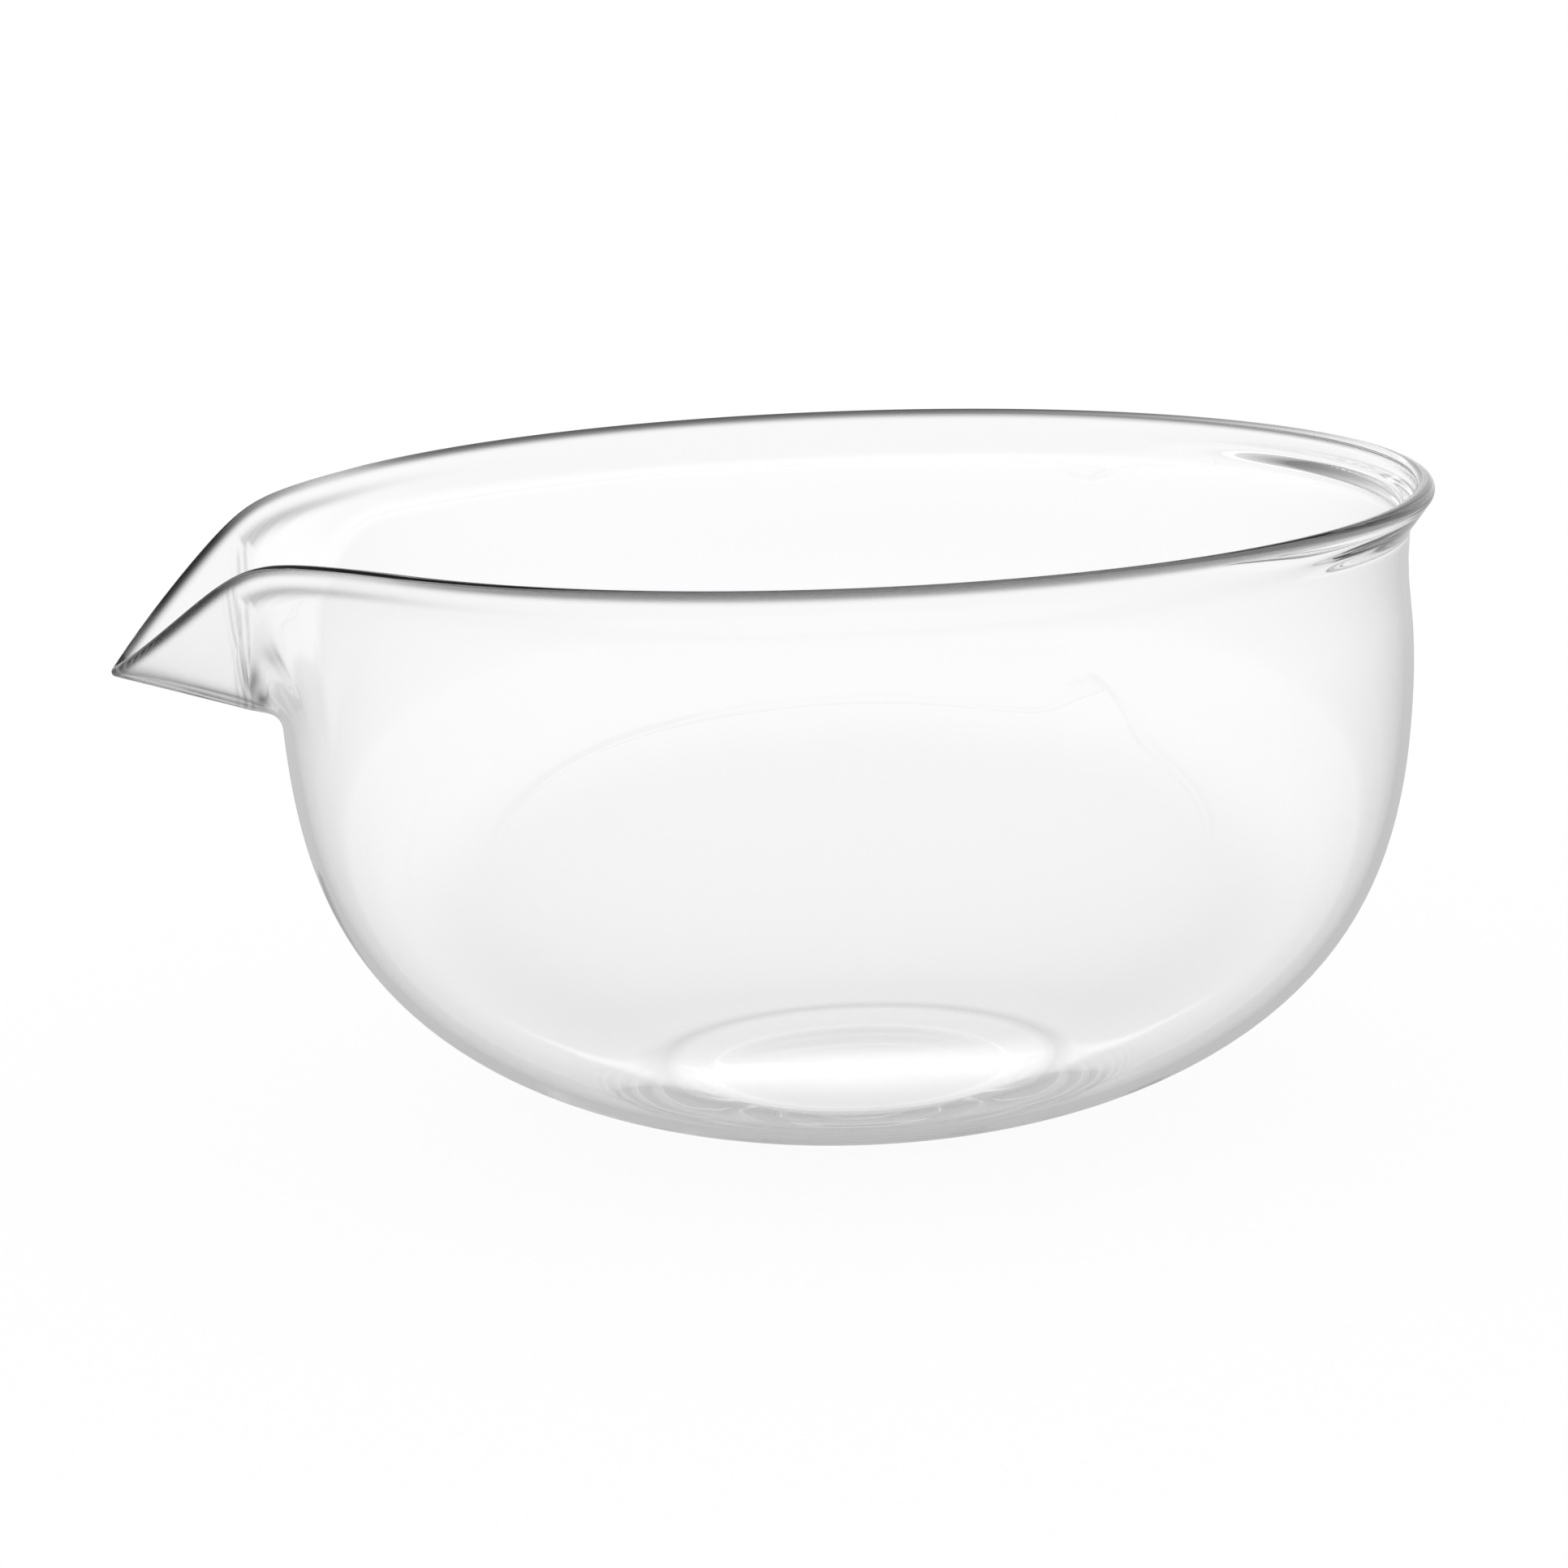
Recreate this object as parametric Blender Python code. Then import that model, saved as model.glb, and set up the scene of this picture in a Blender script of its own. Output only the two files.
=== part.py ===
"""Spouted whisking bowl in clear borosilicate glass: a blown body and a drawn pouring spout.

One shell of glass is lofted from half-plane sections that turn round the bowl's axis, and is parted at
the weld into the body and the spout. Metres, +Z up, spout along -X, origin in the middle of the foot.
"""

import bpy
import numpy as np

# Body: outside sizes, glass thickness, and the two powers of the belly's superellipse
RIM_RADIUS = 0.0626
HEIGHT = 0.0662
FOOT_RADIUS = 0.016
WALL = 0.0010
BASE = 0.0025
THICK_FOOT_HEIGHT = 0.004
BELLY_ROUNDNESS = 1.62
BELLY_RISE = 3.95
UPRIGHT_WALL = 0.0024

# Neck drawn in under the rim, deepest at the back
NECK = 0.0007
NECK_DEPTH = 0.009
NECK_LENGTH = 0.006

# Lip round rim and spout, thicker at the back: its fold lies a band below the round's centre and leans in
LIP_THICKNESS = 0.0011
LIP_BACK_THICKNESS = 0.0022
LIP_BACK_POWER = 4
LIP_FLARE = 0.0021
LIP_BAND = 0.0022
LIP_LEAN = 0.0003

# Spout: reach past the rim, width at the weld, drops below the rim
SPOUT_REACH = 0.0151
SPOUT_WIDTH = 0.0380
SPOUT_BULGE = 0.7
TIP_DROP = 0.0144
KEEL_DROP = 0.0190
KEEL_ROUNDNESS = 0.15
LIP_BEND_OFFSET = 0.0002
LIP_BEND_LENGTH = 0.0040

# Collar drawn out of the wall to meet the spout, creased beside the keel
COLLAR_DRAW = 90.0
KEEL_ROOT = 0.0035
CREASE = 0.7
CREASE_START = np.radians(5)
CREASE_END = np.radians(50)
COLLAR_HANDLE = 0.5
FOLD_ROUNDING = 0.003

# Weld face between body and spout, outside the rim
WELD_STANDOFF = 0.0014
WELD_GAP = 0.0003

# Facets
SECTIONS = 76
SECTION_CROWDING = 0.6
FOOT_RINGS = 2
BELLY_POINTS = 16
COLLAR_POINTS = 6
FACE_POINTS = 4
ROUND_POINTS = 5
CURVE_SAMPLES = 200

# Sizes that follow
WALL_RADIUS = RIM_RADIUS - LIP_FLARE
LIP_ROUND = LIP_THICKNESS / 2
LIP_RADIUS = RIM_RADIUS - LIP_ROUND
LIP_HEIGHT = HEIGHT - LIP_ROUND
BELLY_HEIGHT = HEIGHT - UPRIGHT_WALL
WELD_X = RIM_RADIUS + WELD_STANDOFF
TIP_X = RIM_RADIUS + SPOUT_REACH - LIP_ROUND
WELD_ANGLE = np.arctan2(SPOUT_WIDTH / 2, WELD_X)
WELD_LIP_RADIUS = np.hypot(WELD_X, SPOUT_WIDTH / 2)
TANGENT_ANGLE = WELD_ANGLE + np.arccos(LIP_RADIUS / WELD_LIP_RADIUS)
BEAK_LENGTH = TIP_X - WELD_X
BEAK_START = 1 - BEAK_LENGTH / np.tan(TANGENT_ANGLE) / (SPOUT_WIDTH / 2)

COLLECTION = "spouted_matcha_bowl"
GLASS_COLOUR = (0.93, 0.95, 0.95, 1.0)
GLASS_IOR = 1.474
GLASS_ROUGHNESS = 0.02
SHARP_ANGLE = np.radians(35)


def clear_scene():
    """Remove whatever the open file holds."""
    for item in list(bpy.data.objects):
        bpy.data.objects.remove(item, do_unlink=True)


def new_collection(name):
    """Add a collection to the scene."""
    collection = bpy.data.collections.new(name)
    bpy.context.scene.collection.children.link(collection)
    return collection


def section_angles():
    """Angles from the spout's direction, closer together at the spout than at the back."""
    even = np.linspace(-np.pi, np.pi, SECTIONS, endpoint=False)
    return even - SECTION_CROWDING * np.sin(even)


def lip_bend(reach):
    """Smooth bend from level to falling, by distance out along the spout."""
    out = reach - RIM_RADIUS - LIP_BEND_OFFSET
    return out + np.sqrt(out**2 + LIP_BEND_LENGTH**2)


def backward(angle):
    """How far round the bowl a section is: 0 at the spout, 1 at the back."""
    return (1 - np.cos(angle)) / 2


def lip_round(angle):
    """Radius of the lip's round, half of its thickness."""
    grown = (LIP_BACK_THICKNESS - LIP_THICKNESS) * backward(angle) ** LIP_BACK_POWER
    return (LIP_THICKNESS + grown) / 2


def lip_centre(angle):
    """Centre of the lip's round: a circle, tangents from it to the weld, then a bulged beak."""
    turn = np.abs(angle)
    along = np.linspace(0, 1, CURVE_SAMPLES)
    beak_x = WELD_X + BEAK_LENGTH * along
    beak_y = SPOUT_WIDTH / 2 * (1 - along) * (1 + BEAK_START * along + SPOUT_BULGE * along**2)
    beak_angle = np.arctan2(beak_y, beak_x)
    beak = np.interp(turn, beak_angle[::-1], np.hypot(beak_x, beak_y)[::-1])
    tangent = LIP_RADIUS / np.cos(np.clip(TANGENT_ANGLE - turn, 0, TANGENT_ANGLE - WELD_ANGLE))
    radius = np.where(turn < WELD_ANGLE, beak, tangent)
    level = lip_bend(LIP_RADIUS * np.cos(TANGENT_ANGLE))
    fall = (lip_bend(radius * np.cos(turn)) - level) / (lip_bend(TIP_X) - level)
    grown = lip_round(angle) - LIP_ROUND
    return radius - grown, LIP_HEIGHT - grown - TIP_DROP * np.clip(fall, 0, None)


def lesser(first, second):
    """The smaller of two lengths, with a rounded change from one to the other."""
    return (first + second - np.sqrt((first - second) ** 2 + FOLD_ROUNDING**2)) / 2


def fold_line(angle):
    """Foot of the lip on the outside: under the lip round the rim, down to the keel at the weld."""
    lip_radius, lip_height = lip_centre(angle)
    turn = np.minimum(np.abs(angle), TANGENT_ANGLE)
    radius = lesser(WELD_X / np.cos(turn), lip_radius - LIP_LEAN)
    across = np.tan(turn) / np.tan(WELD_ANGLE)
    rounded = np.sqrt(across**2 + KEEL_ROUNDNESS**2) - KEEL_ROUNDNESS
    rise = rounded / (np.sqrt(1 + KEEL_ROUNDNESS**2) - KEEL_ROUNDNESS)
    keel = HEIGHT - KEEL_DROP
    weld_top = lip_centre(np.array([WELD_ANGLE]))[1] - LIP_BAND
    return radius, lesser(keel + (weld_top - keel) * rise, lip_height - LIP_BAND)


def belly(height, share, angle):
    """Outer belly from the foot up to a height: a superellipse with a neck, by its share of the way."""
    end = np.arccos(np.clip(1 - height / BELLY_HEIGHT, 0, 1) ** (BELLY_RISE / 2))
    turn = share[:, None] * end[None, :]
    radius = FOOT_RADIUS + (WALL_RADIUS - FOOT_RADIUS) * np.sin(turn) ** (2 / BELLY_ROUNDNESS)
    rise = BELLY_HEIGHT * (1 - np.cos(turn) ** (2 / BELLY_RISE))
    under_neck = rise - (HEIGHT - NECK_DEPTH)
    neck = NECK * backward(angle) * np.exp(-((under_neck / NECK_LENGTH) ** 2))
    return np.stack([radius - neck, rise], axis=-1)


def collar_start(fold):
    """Height where the collar leaves the belly: lower where the fold stands out, down to the keel's root."""
    out = fold[:, 0] - WALL_RADIUS
    drawn = fold[:, 1] - LIP_BAND - COLLAR_DRAW * out**2 / RIM_RADIUS
    least = HEIGHT - KEEL_DROP - KEEL_ROOT
    return drawn + least - lesser(drawn, least)


def outer_path(angle):
    """Outer side of each section, from the axis under the foot to the start of the lip's round."""
    centre = np.stack(lip_centre(angle), axis=-1)
    fold = np.stack(fold_line(angle), axis=-1)
    to_centre = centre - fold
    distance = np.linalg.norm(to_centre, axis=-1)
    lean = np.arctan2(to_centre[:, 0], to_centre[:, 1]) + np.arcsin(lip_round(angle) / distance)
    outward = np.stack([np.sin(lean), np.cos(lean)], axis=-1)
    shoulder = fold + outward * np.sqrt(distance**2 - lip_round(angle) ** 2)[:, None]

    wall = belly(collar_start(fold), np.linspace(0, 1, BELLY_POINTS), angle)
    start = wall[-1]
    upward = start - wall[-2]
    upward = upward / np.linalg.norm(upward, axis=-1, keepdims=True)
    chord = fold - start
    reach = np.linalg.norm(chord, axis=-1, keepdims=True)
    turn = np.abs(angle)[:, None]
    fade = np.clip((CREASE_END - turn) / (CREASE_END - WELD_ANGLE), 0, 1)
    bend = CREASE * fade * (1 - np.exp(-((turn / CREASE_START) ** 2)))
    arrival = (1 - bend) * outward + bend * chord / reach
    arrival = arrival / np.linalg.norm(arrival, axis=-1, keepdims=True)
    handle = COLLAR_HANDLE * reach
    share = np.linspace(0, 1, COLLAR_POINTS)[1:, None, None]
    collar = (
        (1 - share) ** 3 * start
        + 3 * (1 - share) ** 2 * share * (start + upward * handle)
        + 3 * (1 - share) * share**2 * (fold - arrival * handle)
        + share**3 * fold
    )
    share = np.linspace(0, 1, FACE_POINTS)[1:, None, None]
    face = fold + (shoulder - fold) * share
    ring_radius = FOOT_RADIUS * np.arange(FOOT_RINGS) / FOOT_RINGS
    foot = np.zeros((FOOT_RINGS, len(angle), 2))
    foot[:, :, 0] = ring_radius[:, None]
    return np.concatenate([foot, wall, collar, face])


def glass_thickness(path, angle):
    """Wall thickness along a section: thick at the foot, even up the wall, fuller at the lip."""
    low = np.clip(1 - path[..., 1] / THICK_FOOT_HEIGHT, 0, 1)
    thickness = WALL + (BASE - WALL) * low**2
    lip_points = FACE_POINTS - 1
    grow = np.linspace(0, 1, FACE_POINTS)[1:]
    thickness[-lip_points:] += (2 * lip_round(angle) - WALL) * grow[:, None]
    return thickness


def section_loops(angle):
    """Whole sections: outer side, lip's round, then the inner side back to the axis."""
    outer = outer_path(angle)
    tangent = np.gradient(outer, axis=0)
    tangent[-1] = outer[-1] - outer[-2]
    tangent[: FOOT_RINGS + 1] = (1.0, 0.0)
    tangent = tangent / np.linalg.norm(tangent, axis=-1, keepdims=True)
    inward = np.stack([-tangent[..., 1], tangent[..., 0]], axis=-1)
    inner = outer + inward * glass_thickness(outer, angle)[..., None]

    centre = (outer[-1] + inner[-1]) / 2
    arm = outer[-1] - centre
    turn = np.linspace(0, np.pi, ROUND_POINTS + 2)[1:-1, None, None]
    forward = tangent[-1] * np.linalg.norm(arm, axis=-1, keepdims=True)
    lip = centre + arm * np.cos(turn) + forward * np.sin(turn)
    return np.concatenate([outer, lip, inner[::-1]])


def glass_shell(name):
    """Loft the sections into one closed mesh, with the two axis points as poles."""
    angle = section_angles()
    loops = section_loops(angle)
    rings = loops[1:-1]
    points = np.stack(
        [-rings[..., 0] * np.cos(angle), rings[..., 0] * np.sin(angle), rings[..., 1]], axis=-1
    )
    ring_count = len(rings)
    vertices = points.reshape(-1, 3).tolist()
    under = len(vertices)
    inside = under + 1
    vertices += [(0.0, 0.0, 0.0), (0.0, 0.0, BASE)]

    faces = []
    for here in range(SECTIONS):
        after = (here + 1) % SECTIONS
        faces.append((under, here, after))
        for ring in range(ring_count - 1):
            low = ring * SECTIONS
            high = low + SECTIONS
            faces.append((low + here, high + here, high + after, low + after))
        top = (ring_count - 1) * SECTIONS
        faces.append((top + here, inside, top + after))

    mesh = bpy.data.meshes.new(name)
    mesh.from_pydata(vertices, [], faces)
    mesh.validate()
    mesh.shade_smooth()
    mesh.set_sharp_from_angle(angle=SHARP_ANGLE)
    return mesh


def glass_material(name):
    """Clear colourless glass."""
    material = bpy.data.materials.new(name)
    material.use_nodes = True
    shader = material.node_tree.nodes["Principled BSDF"]
    shader.inputs["Base Color"].default_value = GLASS_COLOUR
    shader.inputs["Metallic"].default_value = 0.0
    shader.inputs["Roughness"].default_value = GLASS_ROUGHNESS
    shader.inputs["IOR"].default_value = GLASS_IOR
    shader.inputs["Transmission Weight"].default_value = 1.0
    return material


def weld_cutter(collection, name, weld_x):
    """Box round all the glass that lies beyond a weld face."""
    depth = 2 * SPOUT_REACH
    width = 2 * RIM_RADIUS
    tall = 2 * HEIGHT
    bpy.ops.mesh.primitive_cube_add(size=1, location=(-weld_x - depth / 2, 0, HEIGHT / 2))
    cutter = bpy.context.object
    cutter.name = name
    cutter.scale = (depth, width, tall)
    bpy.ops.object.transform_apply(location=False, rotation=False, scale=True)
    for owner in list(cutter.users_collection):
        owner.objects.unlink(cutter)
    collection.objects.link(cutter)
    cutter.hide_render = True
    cutter.display_type = "WIRE"
    return cutter


def glass_piece(collection, parent, name, cutter, operation):
    """One piece of the glass, parted from the whole shell by its weld cutter."""
    piece = bpy.data.objects.new(name, glass_shell(name))
    collection.objects.link(piece)
    piece.parent = parent
    piece.data.materials.append(glass_material(name + "_glass"))
    parting = piece.modifiers.new("weld face", "BOOLEAN")
    parting.operation = operation
    parting.solver = "EXACT"
    parting.object = cutter
    return piece


def build():
    """Make the bowl's two pieces of glass."""
    clear_scene()
    parts = new_collection(COLLECTION)
    cutters = new_collection("cutters")
    root = bpy.data.objects.new("bowl_frame", None)
    parts.objects.link(root)
    body_face = weld_cutter(cutters, "body_weld_face", WELD_X - WELD_GAP / 2)
    spout_face = weld_cutter(cutters, "spout_weld_face", WELD_X + WELD_GAP / 2)
    glass_piece(parts, root, "bowl_body", body_face, "DIFFERENCE")
    glass_piece(parts, root, "pouring_spout", spout_face, "INTERSECT")


build()
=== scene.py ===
import bpy
import numpy as np
from mathutils import Matrix, Vector


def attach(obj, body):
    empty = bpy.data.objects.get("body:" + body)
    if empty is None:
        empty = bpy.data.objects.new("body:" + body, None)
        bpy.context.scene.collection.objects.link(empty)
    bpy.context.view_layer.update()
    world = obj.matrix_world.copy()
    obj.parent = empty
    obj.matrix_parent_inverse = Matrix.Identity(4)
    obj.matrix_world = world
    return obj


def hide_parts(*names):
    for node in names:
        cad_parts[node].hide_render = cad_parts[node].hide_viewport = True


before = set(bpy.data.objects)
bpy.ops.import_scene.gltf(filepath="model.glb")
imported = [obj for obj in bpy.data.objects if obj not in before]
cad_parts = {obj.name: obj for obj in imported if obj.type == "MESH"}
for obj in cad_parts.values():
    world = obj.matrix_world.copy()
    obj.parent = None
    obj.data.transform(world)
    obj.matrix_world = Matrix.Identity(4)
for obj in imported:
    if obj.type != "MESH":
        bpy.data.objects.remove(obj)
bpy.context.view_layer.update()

# The bowl's sizes in metres, the same as the solids have
RIM_RADIUS = 0.0626
HEIGHT = 0.0662
FOOT_RADIUS = 0.016
WALL = 0.0010
BASE = 0.0025
THICK_FOOT_HEIGHT = 0.004
BELLY_ROUNDNESS = 1.62
BELLY_RISE = 3.95
UPRIGHT_WALL = 0.0024
LIP_THICKNESS = 0.0011
LIP_BACK_THICKNESS = 0.0022
LIP_BACK_POWER = 4
LIP_FLARE = 0.0021
LIP_BAND = 0.0022
LIP_LEAN = 0.0003
NECK = 0.0007
NECK_DEPTH = 0.009
NECK_LENGTH = 0.006

# The spout's sizes
SPOUT_REACH = 0.0151
SPOUT_WIDTH = 0.0380
SPOUT_BULGE = 0.7
TIP_DROP = 0.0144
KEEL_DROP = 0.0190
KEEL_ROUNDNESS = 0.15
LIP_BEND_OFFSET = 0.0002
LIP_BEND_LENGTH = 0.0040
COLLAR_DRAW = 90.0
KEEL_ROOT = 0.0035
CREASE = 0.7
CREASE_START = np.radians(5)
CREASE_END = np.radians(50)
COLLAR_HANDLE = 0.5
FOLD_ROUNDING = 0.003
WELD_STANDOFF = 0.0014

# Sizes that follow from them
WALL_RADIUS = RIM_RADIUS - LIP_FLARE
LIP_ROUND = LIP_THICKNESS / 2
LIP_RADIUS = RIM_RADIUS - LIP_ROUND
LIP_HEIGHT = HEIGHT - LIP_ROUND
BELLY_HEIGHT = HEIGHT - UPRIGHT_WALL
WELD_X = RIM_RADIUS + WELD_STANDOFF
TIP_X = RIM_RADIUS + SPOUT_REACH - LIP_ROUND
WELD_ANGLE = np.arctan2(SPOUT_WIDTH / 2, WELD_X)
WELD_LIP_RADIUS = np.hypot(WELD_X, SPOUT_WIDTH / 2)
TANGENT_ANGLE = WELD_ANGLE + np.arccos(LIP_RADIUS / WELD_LIP_RADIUS)
BEAK_LENGTH = TIP_X - WELD_X
BEAK_START = 1 - BEAK_LENGTH / np.tan(TANGENT_ANGLE) / (SPOUT_WIDTH / 2)

# Relief on the inner side, in the scene alone: a dish in the floor and a ridge round the back of the neck.
# The ridge has a height, a depth under the rim, a half-width, and angles from the spout where it comes in.
FOOT_DISH = 0.0003
RIDGE_HEIGHT = 0.0011
RIDGE_DEPTH = 0.0037
RIDGE_LINE = 0.0008
RIDGE_START = 2.2
RIDGE_FADE = 0.5

# How finely the glass is drawn
SECTIONS = 440
SECTION_CROWDING = 0.78
FOOT_RINGS = 10
BELLY_POINTS = 46
BELLY_CROWDING = 1.5
COLLAR_POINTS = 34
FACE_POINTS = 14
ROUND_POINTS = 19
CURVE_SAMPLES = 2000

# Painted shade: a grey in the glass's colour along edges, folds, the weld, the keel and its root and a ring in
# the floor, standing for the dark lines that refraction draws there. Places and half-widths are in metres,
# angles are from the spout, and shares are of the grey
PAINTED_SHADE_GREY = "#202020"
LIP_MIDDLE = 0.0003
LIP_LINE = 0.0009
LIP_SHADE = 0.9
LIP_BACK = 0.2
LIP_BACK_WIDTH = 0.22
LIP_COLLAR = 0.5
LIP_COLLAR_ANGLE = 0.55
LIP_COLLAR_WIDTH = 0.17
FLANK_ANGLE = 0.2
FLANK_WIDTH = 0.1
FLANK_SHADE = 0.15
FLANK_LINE = 0.0002
WELD_LINE = 0.0004
WELD_STEP = 0.0008
WELD_BAND = 0.8 * WELD_STEP
WELD_SHADE = 0.55
FOLD_LINE = 0.0005
FOLD_DEPTH = 0.0026
FOLD_FADE = 0.35
FOLD_SHADE = 0.55
KEEL_LINE = 0.0013
KEEL_START = 0.0025
KEEL_SHADE = 1.0
WEDGE_IN = 0.0018
WEDGE_LINE = 0.0009
WEDGE_RISE = 0.0012
WEDGE_HEIGHT = 0.0016
WEDGE_SHADE = 1.0
FOOT_RING = 0.0220
FOOT_LINE = 0.0011
FOOT_SHADE = 0.4

# Borosilicate glass, and the slow waves that the blowing leaves in its surface
GLASS_IOR = 1.474
WAVE_LENGTH = 0.025
WAVE_HEIGHT = 0.00006
BOUNCES = 96

# The floor's size, and the brightness of the floor and the room, where 1 is white
FLOOR_RADIUS = 4.0
FLOOR_SIDES = 64
FLOOR_GAP = 0.0002
FLOOR_LIT = 0.08
FLOOR_MIRRORED = 0.55
FLOOR_NEAR = 0.05
FLOOR_FAR = 1.2
CEILING = 0.2
CEILING_LOW = 0.18
CEILING_HIGH = 0.6

# The soft box behind the bowl: its direction, half sizes and the brightness that it adds
BOX_TOWARDS = (0.13, 0.95, 0.266)
BOX_WIDTH = 0.28
BOX_HEIGHT = 0.03
BOX_GLOW = 1.1

# The camera, fitted to the photographed rim, foot and outline
CAMERA_PLACE = (-0.06337, -0.45431, 0.13543)
CAMERA_LENS = 100.0
CAMERA_SENSOR = 36.0
CAMERA_TURN = np.radians(-7.0)
CAMERA_DIP = np.radians(12.434)
CAMERA_ROLL = np.radians(2.26)
CAMERA_SHIFT = 5 / 1932


def linear(hex_colour):
    """A written sRGB colour as linear red, green, blue and an alpha of 1."""
    srgb = np.array([int(hex_colour[i : i + 2], 16) for i in (1, 3, 5)]) / 255
    light = np.where(srgb <= 0.04045, srgb / 12.92, ((srgb + 0.055) / 1.055) ** 2.4)
    return (*light.tolist(), 1.0)


def add_node(tree, kind, inputs=(), links=(), **settings):
    """Add a node, set its properties and its own sockets, and link other nodes' outputs into it."""
    node = tree.nodes.new(kind)
    for name, value in settings.items():
        setattr(node, name, value)
    for name, value in dict(inputs).items():
        node.inputs[name].default_value = value
    for name, output in dict(links).items():
        tree.links.new(output, node.inputs[name])
    return node


def section_angles():
    """Angles round the axis from the spout's direction: even steps less a sine, so closer at the spout."""
    even = np.linspace(-np.pi, np.pi, SECTIONS, endpoint=False)
    return even - SECTION_CROWDING * np.sin(even)


def lip_bend(reach):
    """One branch of a hyperbola: level inside the rim, falling at an even slope beyond it."""
    out = reach - RIM_RADIUS - LIP_BEND_OFFSET
    return out + np.sqrt(out**2 + LIP_BEND_LENGTH**2)


def backward(angle):
    """How far round the bowl a section is: a raised cosine, 0 at the spout and 1 at the back."""
    return (1 - np.cos(angle)) / 2


def lip_round(angle):
    """Radius of the lip's round: half its thickness, which grows to the back by a power of a raised cosine."""
    return (LIP_THICKNESS + (LIP_BACK_THICKNESS - LIP_THICKNESS) * backward(angle) ** LIP_BACK_POWER) / 2


def lip_centre(angle):
    """Radius and height of the lip's middle: a circle, its two tangents to the weld, then a cubic beak."""
    turn = np.abs(angle)
    along = np.linspace(0, 1, CURVE_SAMPLES)
    beak_x = WELD_X + BEAK_LENGTH * along
    beak_y = SPOUT_WIDTH / 2 * (1 - along) * (1 + BEAK_START * along + SPOUT_BULGE * along**2)
    beak_angle = np.arctan2(beak_y, beak_x)
    beak = np.interp(turn, beak_angle[::-1], np.hypot(beak_x, beak_y)[::-1])
    tangent = LIP_RADIUS / np.cos(np.clip(TANGENT_ANGLE - turn, 0, TANGENT_ANGLE - WELD_ANGLE))
    radius = np.where(turn < WELD_ANGLE, beak, tangent)
    level = lip_bend(LIP_RADIUS * np.cos(TANGENT_ANGLE))
    fall = (lip_bend(radius * np.cos(turn)) - level) / (lip_bend(TIP_X) - level)
    grown = lip_round(angle) - LIP_ROUND
    return radius - grown, LIP_HEIGHT - grown - TIP_DROP * np.clip(fall, 0, None)


def lesser(first, second):
    """The smaller of two lengths, rounded where they meet: half their sum less a hyperbola of their gap."""
    return (first + second - np.sqrt((first - second) ** 2 + FOLD_ROUNDING**2)) / 2


def fold_line(angle):
    """Radius and height of the lip's foot: under the lip round the rim, a rounded V along the weld."""
    lip_radius, lip_height = lip_centre(angle)
    turn = np.minimum(np.abs(angle), TANGENT_ANGLE)
    radius = lesser(WELD_X / np.cos(turn), lip_radius - LIP_LEAN)
    across = np.tan(turn) / np.tan(WELD_ANGLE)
    rounded = np.sqrt(across**2 + KEEL_ROUNDNESS**2) - KEEL_ROUNDNESS
    rise = rounded / (np.sqrt(1 + KEEL_ROUNDNESS**2) - KEEL_ROUNDNESS)
    keel = HEIGHT - KEEL_DROP
    weld_top = lip_centre(np.array([WELD_ANGLE]))[1] - LIP_BAND
    return radius, lesser(keel + (weld_top - keel) * rise, lip_height - LIP_BAND)


def bell(distance, width):
    """A bell curve: 1 in the middle, falling off by the square of the distance in widths."""
    return np.exp(-((distance / width) ** 2))


def belly(height, share, angle):
    """Outer belly up to a height, by its share of the way: a superellipse less a bell curve at the neck."""
    end = np.arccos(np.clip(1 - height / BELLY_HEIGHT, 0, 1) ** (BELLY_RISE / 2))
    turn = share[:, None] * end[None, :]
    radius = FOOT_RADIUS + (WALL_RADIUS - FOOT_RADIUS) * np.sin(turn) ** (2 / BELLY_ROUNDNESS)
    rise = BELLY_HEIGHT * (1 - np.cos(turn) ** (2 / BELLY_RISE))
    neck = NECK * backward(angle) * bell(rise - (HEIGHT - NECK_DEPTH), NECK_LENGTH)
    return np.stack([radius - neck, rise], axis=-1)


def collar_start(fold):
    """Height where the collar leaves the belly: lower by the square of how far the fold stands out, and never
    far under the keel."""
    out = fold[:, 0] - WALL_RADIUS
    drawn = fold[:, 1] - LIP_BAND - COLLAR_DRAW * out**2 / RIM_RADIUS
    least = HEIGHT - KEEL_DROP - KEEL_ROOT
    return drawn + least - lesser(drawn, least)


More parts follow.
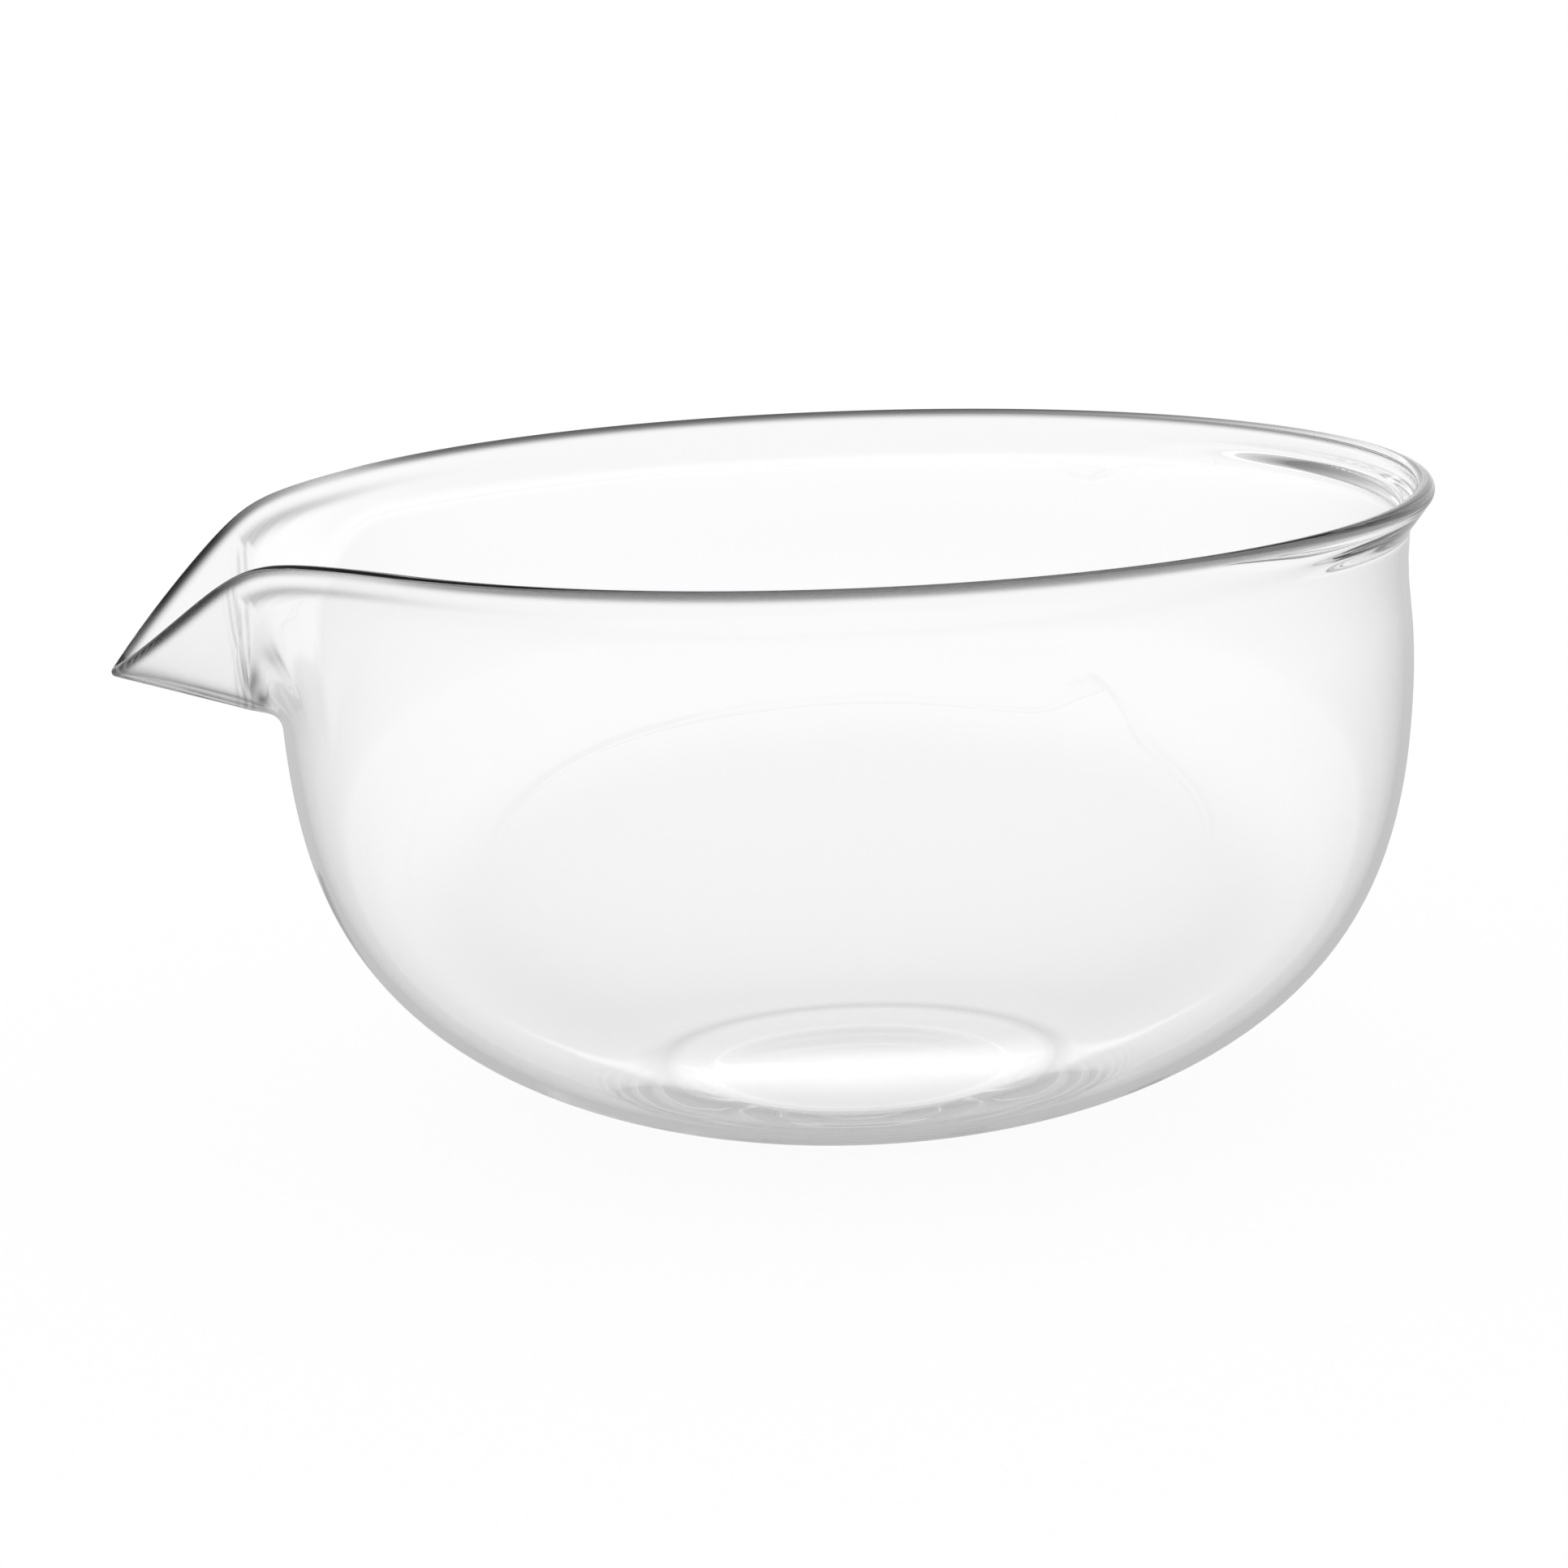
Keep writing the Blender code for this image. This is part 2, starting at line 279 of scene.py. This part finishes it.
def outer_path(angle):
    """Outer side of each section: level foot, belly, a cubic collar to the fold, a straight face to the lip."""
    centre = np.stack(lip_centre(angle), axis=-1)
    fold = np.stack(fold_line(angle), axis=-1)
    to_centre = centre - fold
    distance = np.linalg.norm(to_centre, axis=-1)
    lean = np.arctan2(to_centre[:, 0], to_centre[:, 1]) + np.arcsin(lip_round(angle) / distance)
    outward = np.stack([np.sin(lean), np.cos(lean)], axis=-1)
    length = np.sqrt(distance**2 - lip_round(angle) ** 2)

    start_height = collar_start(fold)
    wall = belly(start_height, 1 - np.linspace(1, 0, BELLY_POINTS) ** BELLY_CROWDING, angle)
    start = wall[-1]
    upward = start - wall[-2]
    upward = upward / np.linalg.norm(upward, axis=-1, keepdims=True)
    turn = np.abs(angle)[:, None]
    fade = np.clip((CREASE_END - turn) / (CREASE_END - WELD_ANGLE), 0, 1)
    bend = CREASE * fade * (1 - np.exp(-((turn / CREASE_START) ** 2)))
    chord = fold - start
    reach = np.linalg.norm(chord, axis=-1, keepdims=True)
    arrival = (1 - bend) * outward + bend * chord / reach
    arrival = arrival / np.linalg.norm(arrival, axis=-1, keepdims=True)
    handle = COLLAR_HANDLE * reach
    share = np.linspace(0, 1, COLLAR_POINTS)[1:, None, None]
    collar = (
        (1 - share) ** 3 * start
        + 3 * (1 - share) ** 2 * share * (start + upward * handle)
        + 3 * (1 - share) * share**2 * (fold - arrival * handle)
        + share**3 * fold
    )
    share = 1 - np.linspace(1, 0, FACE_POINTS)[1:, None, None] ** 2
    face = fold + outward * length[:, None] * share
    ring_radius = FOOT_RADIUS * np.arange(FOOT_RINGS) / FOOT_RINGS
    foot = np.zeros((FOOT_RINGS, len(angle), 2))
    foot[:, :, 0] = ring_radius[:, None]
    return np.concatenate([foot, wall, collar, face])


def glass_thickness(path, angle):
    """Wall thickness along a section: a parabola over the foot, a squared fall from it, even up the wall, a
    straight rise to the lip, and a ridge inside the neck, a bell that comes in by a cubic round the back."""
    low = np.clip(1 - path[..., 1] / THICK_FOOT_HEIGHT, 0, 1)
    dish = BASE - FOOT_DISH * (1 - (path[..., 0] / FOOT_RADIUS) ** 2)
    thickness = np.maximum(WALL + (BASE - WALL) * low**2, dish - path[..., 1])
    thickness[:FOOT_RINGS] = dish[:FOOT_RINGS]
    grow = np.linspace(0, 1, FACE_POINTS)[1:]
    thickness[-len(grow) :] += (2 * lip_round(angle) - WALL) * grow[:, None]
    depth = lip_centre(angle)[1] + lip_round(angle) - path[..., 1]
    behind = np.clip((np.abs(angle) - RIDGE_START) / RIDGE_FADE, 0, 1)
    thickness += RIDGE_HEIGHT * behind**2 * (3 - 2 * behind) * bell(depth - RIDGE_DEPTH, RIDGE_LINE)
    return thickness


def lip_shade_strength(turn):
    """How strong the painted shade on the lip's edge is, by its angle from the spout: even, less a bell curve
    along the collar and one at the thick back, and with one added on the spout's flanks."""
    collar = 1 - (1 - LIP_COLLAR) * bell(turn - LIP_COLLAR_ANGLE, LIP_COLLAR_WIDTH)
    back = 1 - (1 - LIP_BACK) * bell(turn - np.pi, LIP_BACK_WIDTH)
    return np.minimum(LIP_SHADE * collar * back + FLANK_SHADE * bell(turn - FLANK_ANGLE, FLANK_WIDTH), 1)


def painted_line_shade(loops, angle, from_lip):
    """Share of painted shade at each point, the sum of bell curves across the edges and folds it lies near,
    and a mask for the weld's painted shade, a bell across it under the fold. Both are the same on the two sides
    of the spout."""
    radius, height = loops[..., 0], loops[..., 1]
    turn = np.abs(angle)
    out = radius * np.cos(angle)
    depth = lip_centre(angle)[1] + lip_round(angle) - height
    inside = np.arange(len(loops))[:, None] > len(loops) / 2
    width = LIP_LINE + FLANK_LINE * bell(turn - FLANK_ANGLE, FLANK_WIDTH)
    lip = lip_shade_strength(turn) * np.exp(-(((from_lip - LIP_MIDDLE) / width) ** 4))
    beside = bell(np.clip(turn - WELD_ANGLE, 0, None), FOLD_FADE) * (turn > WELD_ANGLE)
    fold = FOLD_SHADE * beside * bell(depth - FOLD_DEPTH, FOLD_LINE)
    keel = KEEL_SHADE * bell(radius * np.sin(angle), KEEL_LINE) * inside * (out > WELD_X - KEEL_START)
    # Painted shade at the keel's root: a dark patch on the outer side just above the keel
    rise = height - (HEIGHT - KEEL_DROP) - WEDGE_RISE
    wedge = WEDGE_SHADE * bell(out - WELD_X + WEDGE_IN, WEDGE_LINE) * bell(rise, WEDGE_HEIGHT) * ~inside
    foot = FOOT_SHADE * bell(radius - FOOT_RING, FOOT_LINE) * inside
    shade_share = np.clip(lip + fold + keel + wedge + foot, 0, 1)
    below = np.clip((depth - FOLD_DEPTH) / WELD_STEP, 0, 1)
    weld = WELD_SHADE * bell(out - WELD_X + WELD_STEP / 2, WELD_BAND) * below * ~inside
    return shade_share, weld


def section_loops(angle):
    """Whole sections: the outer side, a half circle round the lip, the outer side set in by the thickness."""
    outer = outer_path(angle)
    tangent = np.gradient(outer, axis=0)
    tangent[-1] = outer[-1] - outer[-2]
    tangent[: FOOT_RINGS + 1] = (1.0, 0.0)
    tangent = tangent / np.linalg.norm(tangent, axis=-1, keepdims=True)
    inward = np.stack([-tangent[..., 1], tangent[..., 0]], axis=-1)
    inner = outer + inward * glass_thickness(outer, angle)[..., None]

    centre = (outer[-1] + inner[-1]) / 2
    arm = outer[-1] - centre
    turn = np.linspace(0, np.pi, ROUND_POINTS + 2)[1:-1, None, None]
    forward = tangent[-1] * np.linalg.norm(arm, axis=-1, keepdims=True)
    lip = centre + arm * np.cos(turn) + forward * np.sin(turn)
    along = lip_round(angle) * (np.abs(turn[..., 0] - np.pi / 2) - np.pi / 2)
    down = np.linalg.norm(outer - outer[-1], axis=-1)
    from_lip = np.concatenate([down, along, down[::-1]]) + np.pi / 2 * lip_round(angle)
    loops = np.concatenate([outer, lip, inner[::-1]])
    return loops, *painted_line_shade(loops, angle, from_lip)


def ring_faces(rings, sections):
    """Quads between neighbouring rings and two fans of triangles, as arrays of corner numbers."""
    here = np.arange(sections)
    after = (here + 1) % sections
    low = sections * np.arange(rings - 1)[:, None]
    quads = np.stack(
        [low + here, low + sections + here, low + sections + after, low + after], axis=-1
    ).reshape(-1, 4)
    under = rings * sections
    top = (rings - 1) * sections
    fan = np.stack([np.full(sections, under), here, after], axis=-1)
    cap = np.stack([top + here, np.full(sections, under + 1), top + after], axis=-1)
    return quads, np.concatenate([fan, cap])


def mesh_of(name, points, quads, triangles):
    """A smooth mesh from arrays of points, quads and triangles."""
    mesh = bpy.data.meshes.new(name)
    mesh.vertices.add(len(points))
    mesh.vertices.foreach_set("co", points.ravel())
    corners = np.concatenate([quads.ravel(), triangles.ravel()])
    mesh.loops.add(len(corners))
    mesh.loops.foreach_set("vertex_index", corners)
    starts = np.concatenate(
        [4 * np.arange(len(quads)), 4 * len(quads) + 3 * np.arange(len(triangles))]
    )
    mesh.polygons.add(len(starts))
    mesh.polygons.foreach_set("loop_start", starts)
    mesh.update(calc_edges=True)
    mesh.validate()
    mesh.shade_smooth()
    return mesh


def glass_shell(name):
    """The sections turned round the axis, closed by a pole under the foot and one inside it."""
    angle = section_angles()
    loops, shade_share, weld = section_loops(angle)
    rings = loops[1:-1]
    points = np.stack(
        [-rings[..., 0] * np.cos(angle), rings[..., 0] * np.sin(angle), rings[..., 1]], axis=-1
    ).reshape(-1, 3)
    points = np.concatenate([points, [(0, 0, 0), (0, 0, BASE - FOOT_DISH)]])
    mesh = mesh_of(name, points, *ring_faces(len(rings), SECTIONS))
    # The painted shade goes on the points as two attributes, which the glass's colour reads
    for title, values in (("painted_line_shade", shade_share), ("painted_weld_shade", weld)):
        marks = mesh.attributes.new(title, "FLOAT", "POINT")
        marks.data.foreach_set("value", np.concatenate([values[1:-1].ravel(), [0.0, 0.0]]))
    return mesh


def blown_glass(name):
    """Clear borosilicate glass, blown and fire-polished."""
    # To the eye it is colourless and sharp, with slow waves in what it mirrors. Its colour is painted grey
    # along
    # its edges, folds and weld: painted shade for the dark lines that refraction draws there, a grey stronger
    # than real glass has.
    material = bpy.data.materials.new(name)
    material.use_nodes = True
    tree = material.node_tree
    shader = tree.nodes["Principled BSDF"]
    # Painted shade: grey shares on the points darken the colour along edges, folds, keel, keel root, floor ring
    # and weld
    edge = add_node(tree, "ShaderNodeAttribute", attribute_name="painted_line_shade")
    weld = add_node(tree, "ShaderNodeAttribute", attribute_name="painted_weld_shade")
    place = add_node(tree, "ShaderNodeTexCoord")
    axes = add_node(tree, "ShaderNodeSeparateXYZ", links={"Vector": place.outputs["Object"]})
    # The weld's painted shade shows as two soft dark lines, one step apart, finer than the mesh
    across = add_node(tree, "ShaderNodeMath", inputs={1: WELD_X}, links={0: axes.outputs["X"]})
    pair = add_node(
        tree,
        "ShaderNodeMath",
        inputs={1: WELD_STEP / 2},
        links={0: across.outputs["Value"]},
        operation="PINGPONG",
    )
    weld_shade_lines = add_node(
        tree,
        "ShaderNodeMapRange",
        inputs={"From Max": WELD_LINE, "To Max": 0.0},
        links={"Value": pair.outputs["Value"], "To Min": weld.outputs["Fac"]},
        interpolation_type="SMOOTHSTEP",
    )
    lines = add_node(
        tree, "ShaderNodeMath", links={0: edge.outputs["Fac"], 1: weld_shade_lines.outputs["Result"]}, use_clamp=True
    )
    # The painted shade mixes the white colour towards the dark grey
    colour = add_node(
        tree,
        "ShaderNodeMix",
        inputs={6: linear("#FFFFFF"), 7: linear(PAINTED_SHADE_GREY)},
        links={0: lines.outputs["Value"]},
        data_type="RGBA",
    )
    tree.links.new(colour.outputs[2], shader.inputs["Base Color"])
    shader.inputs["Roughness"].default_value = 0.0
    shader.inputs["IOR"].default_value = GLASS_IOR
    shader.inputs["Transmission Weight"].default_value = 1.0
    waves = add_node(
        tree,
        "ShaderNodeTexNoise",
        inputs={"Scale": 1 / WAVE_LENGTH, "Detail": 1.0},
        links={"Vector": place.outputs["Object"]},
    )
    bump = add_node(
        tree, "ShaderNodeBump", inputs={"Distance": WAVE_HEIGHT}, links={"Height": waves.outputs["Fac"]}
    )
    tree.links.new(bump.outputs["Normal"], shader.inputs["Normal"])
    return material


def white_paper(name):
    """Matt white sweep paper."""
    # To the eye it is plain white with a faint shadow: part lit, part bright of itself, and greyer where the
    # glass mirrors it close by
    material = bpy.data.materials.new(name)
    material.use_nodes = True
    material.cycles.emission_sampling = "NONE"
    tree = material.node_tree
    shader = tree.nodes["Principled BSDF"]
    shader.inputs["Base Color"].default_value = (FLOOR_LIT, FLOOR_LIT, FLOOR_LIT, 1.0)
    shader.inputs["Roughness"].default_value = 1.0
    shader.inputs["Specular IOR Level"].default_value = 0.0
    shader.inputs["Emission Color"].default_value = linear("#FFFFFF")
    path = add_node(tree, "ShaderNodeLightPath")
    place = add_node(tree, "ShaderNodeTexCoord")
    away = add_node(tree, "ShaderNodeVectorMath", links={0: place.outputs["Object"]}, operation="LENGTH")
    mirrored = add_node(
        tree,
        "ShaderNodeMapRange",
        inputs={
            "From Min": FLOOR_NEAR,
            "From Max": FLOOR_FAR,
            "To Min": FLOOR_MIRRORED - FLOOR_LIT,
            "To Max": 1.0 - FLOOR_LIT,
        },
        links={"Value": away.outputs["Value"]},
        interpolation_type="SMOOTHSTEP",
    )
    glow = add_node(
        tree,
        "ShaderNodeMapRange",
        inputs={"To Min": 1.0 - FLOOR_LIT},
        links={"Value": path.outputs["Glossy Depth"], "To Max": mirrored.outputs["Result"]},
    )
    tree.links.new(glow.outputs["Result"], shader.inputs["Emission Strength"])
    return material


def sweep_floor():
    """A flat disc just under the foot: a fan of triangles from its middle to points on a circle."""
    turn = np.linspace(0, 2 * np.pi, FLOOR_SIDES, endpoint=False)
    level = np.full(FLOOR_SIDES, -FLOOR_GAP)
    edge = np.stack([FLOOR_RADIUS * np.cos(turn), FLOOR_RADIUS * np.sin(turn), level], axis=-1)
    points = np.concatenate([edge, [(0, 0, -FLOOR_GAP)]])
    here = np.arange(FLOOR_SIDES)
    fan = np.stack([np.full(FLOOR_SIDES, FLOOR_SIDES), here, (here + 1) % FLOOR_SIDES], axis=-1)
    floor = bpy.data.objects.new("floor", mesh_of("floor", points, np.zeros((0, 4), int), fan))
    bpy.context.scene.collection.objects.link(floor)
    floor.data.materials.append(white_paper("matt_white_paper"))


def light_tent():
    """White for camera and lighting; in and through glass a white horizon, a dark ceiling and a soft box."""
    world = bpy.data.worlds.new("light_tent")
    bpy.context.scene.world = world
    world.use_nodes = True
    tree = world.node_tree
    place = add_node(tree, "ShaderNodeTexCoord")
    axes = add_node(tree, "ShaderNodeSeparateXYZ", links={"Vector": place.outputs["Generated"]})
    path = add_node(tree, "ShaderNodeLightPath")
    room = add_node(
        tree,
        "ShaderNodeMapRange",
        inputs={"From Min": CEILING_LOW, "From Max": CEILING_HIGH, "To Min": 1.0, "To Max": CEILING},
        links={"Value": axes.outputs["Z"]},
        interpolation_type="SMOOTHSTEP",
    )
    aside = add_node(
        tree,
        "ShaderNodeVectorMath",
        inputs={1: BOX_TOWARDS},
        links={0: place.outputs["Generated"]},
        operation="SUBTRACT",
    )
    apart = add_node(
        tree,
        "ShaderNodeVectorMath",
        inputs={1: (1 / BOX_WIDTH, 1.0, 1 / BOX_HEIGHT)},
        links={0: aside.outputs["Vector"]},
        operation="MULTIPLY",
    )
    away = add_node(tree, "ShaderNodeVectorMath", links={0: apart.outputs["Vector"]}, operation="LENGTH")
    box = add_node(
        tree,
        "ShaderNodeMapRange",
        inputs={"To Min": BOX_GLOW, "To Max": 0.0},
        links={"Value": away.outputs["Value"]},
        interpolation_type="SMOOTHSTEP",
    )
    lit = add_node(tree, "ShaderNodeMath", links={0: room.outputs["Result"], 1: box.outputs["Result"]})
    through = add_node(
        tree,
        "ShaderNodeMath",
        links={0: path.outputs["Is Transmission Ray"], 1: path.outputs["Is Glossy Ray"]},
        operation="MAXIMUM",
    )
    seen = add_node(
        tree,
        "ShaderNodeMath",
        links={0: through.outputs[0], 1: path.outputs["Diffuse Depth"]},
        operation="GREATER_THAN",
    )
    strength = add_node(
        tree,
        "ShaderNodeMix",
        inputs={"A": 1.0},
        links={"Factor": seen.outputs[0], "B": lit.outputs["Value"]},
        data_type="FLOAT",
    )
    background = tree.nodes["Background"]
    background.inputs["Color"].default_value = linear("#FFFFFF")
    tree.links.new(strength.outputs["Result"], background.inputs["Strength"])


def photo_camera():
    """A camera that looks down at the bowl from the front, rolled as the photograph is."""
    forward = Vector(
        (
            -np.sin(CAMERA_TURN) * np.cos(CAMERA_DIP),
            np.cos(CAMERA_TURN) * np.cos(CAMERA_DIP),
            -np.sin(CAMERA_DIP),
        )
    )
    right = forward.cross(Vector((0, 0, 1))).normalized()
    up = right.cross(forward)
    across = right * np.cos(CAMERA_ROLL) - up * np.sin(CAMERA_ROLL)
    above = right * np.sin(CAMERA_ROLL) + up * np.cos(CAMERA_ROLL)
    lens = bpy.data.cameras.new("photo_camera")
    lens.lens = CAMERA_LENS
    lens.sensor_width = CAMERA_SENSOR
    lens.sensor_fit = "HORIZONTAL"
    lens.shift_x = CAMERA_SHIFT
    camera = bpy.data.objects.new("photo_camera", lens)
    bpy.context.scene.collection.objects.link(camera)
    turn = Matrix((across, above, -forward)).transposed().to_4x4()
    camera.matrix_world = Matrix.Translation(CAMERA_PLACE) @ turn
    bpy.context.scene.camera = camera


glass = bpy.data.objects.new("bowl_glass", glass_shell("bowl_glass"))
bpy.context.scene.collection.objects.link(glass)
glass.data.materials.append(blown_glass("blown_borosilicate_glass"))
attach(glass, "root")
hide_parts("bowl_body", "pouring_spout")

sweep_floor()
light_tent()
photo_camera()
scene = bpy.context.scene
scene.cycles.max_bounces = BOUNCES
scene.cycles.glossy_bounces = BOUNCES
scene.cycles.transmission_bounces = BOUNCES
scene.view_settings.view_transform = "Standard"
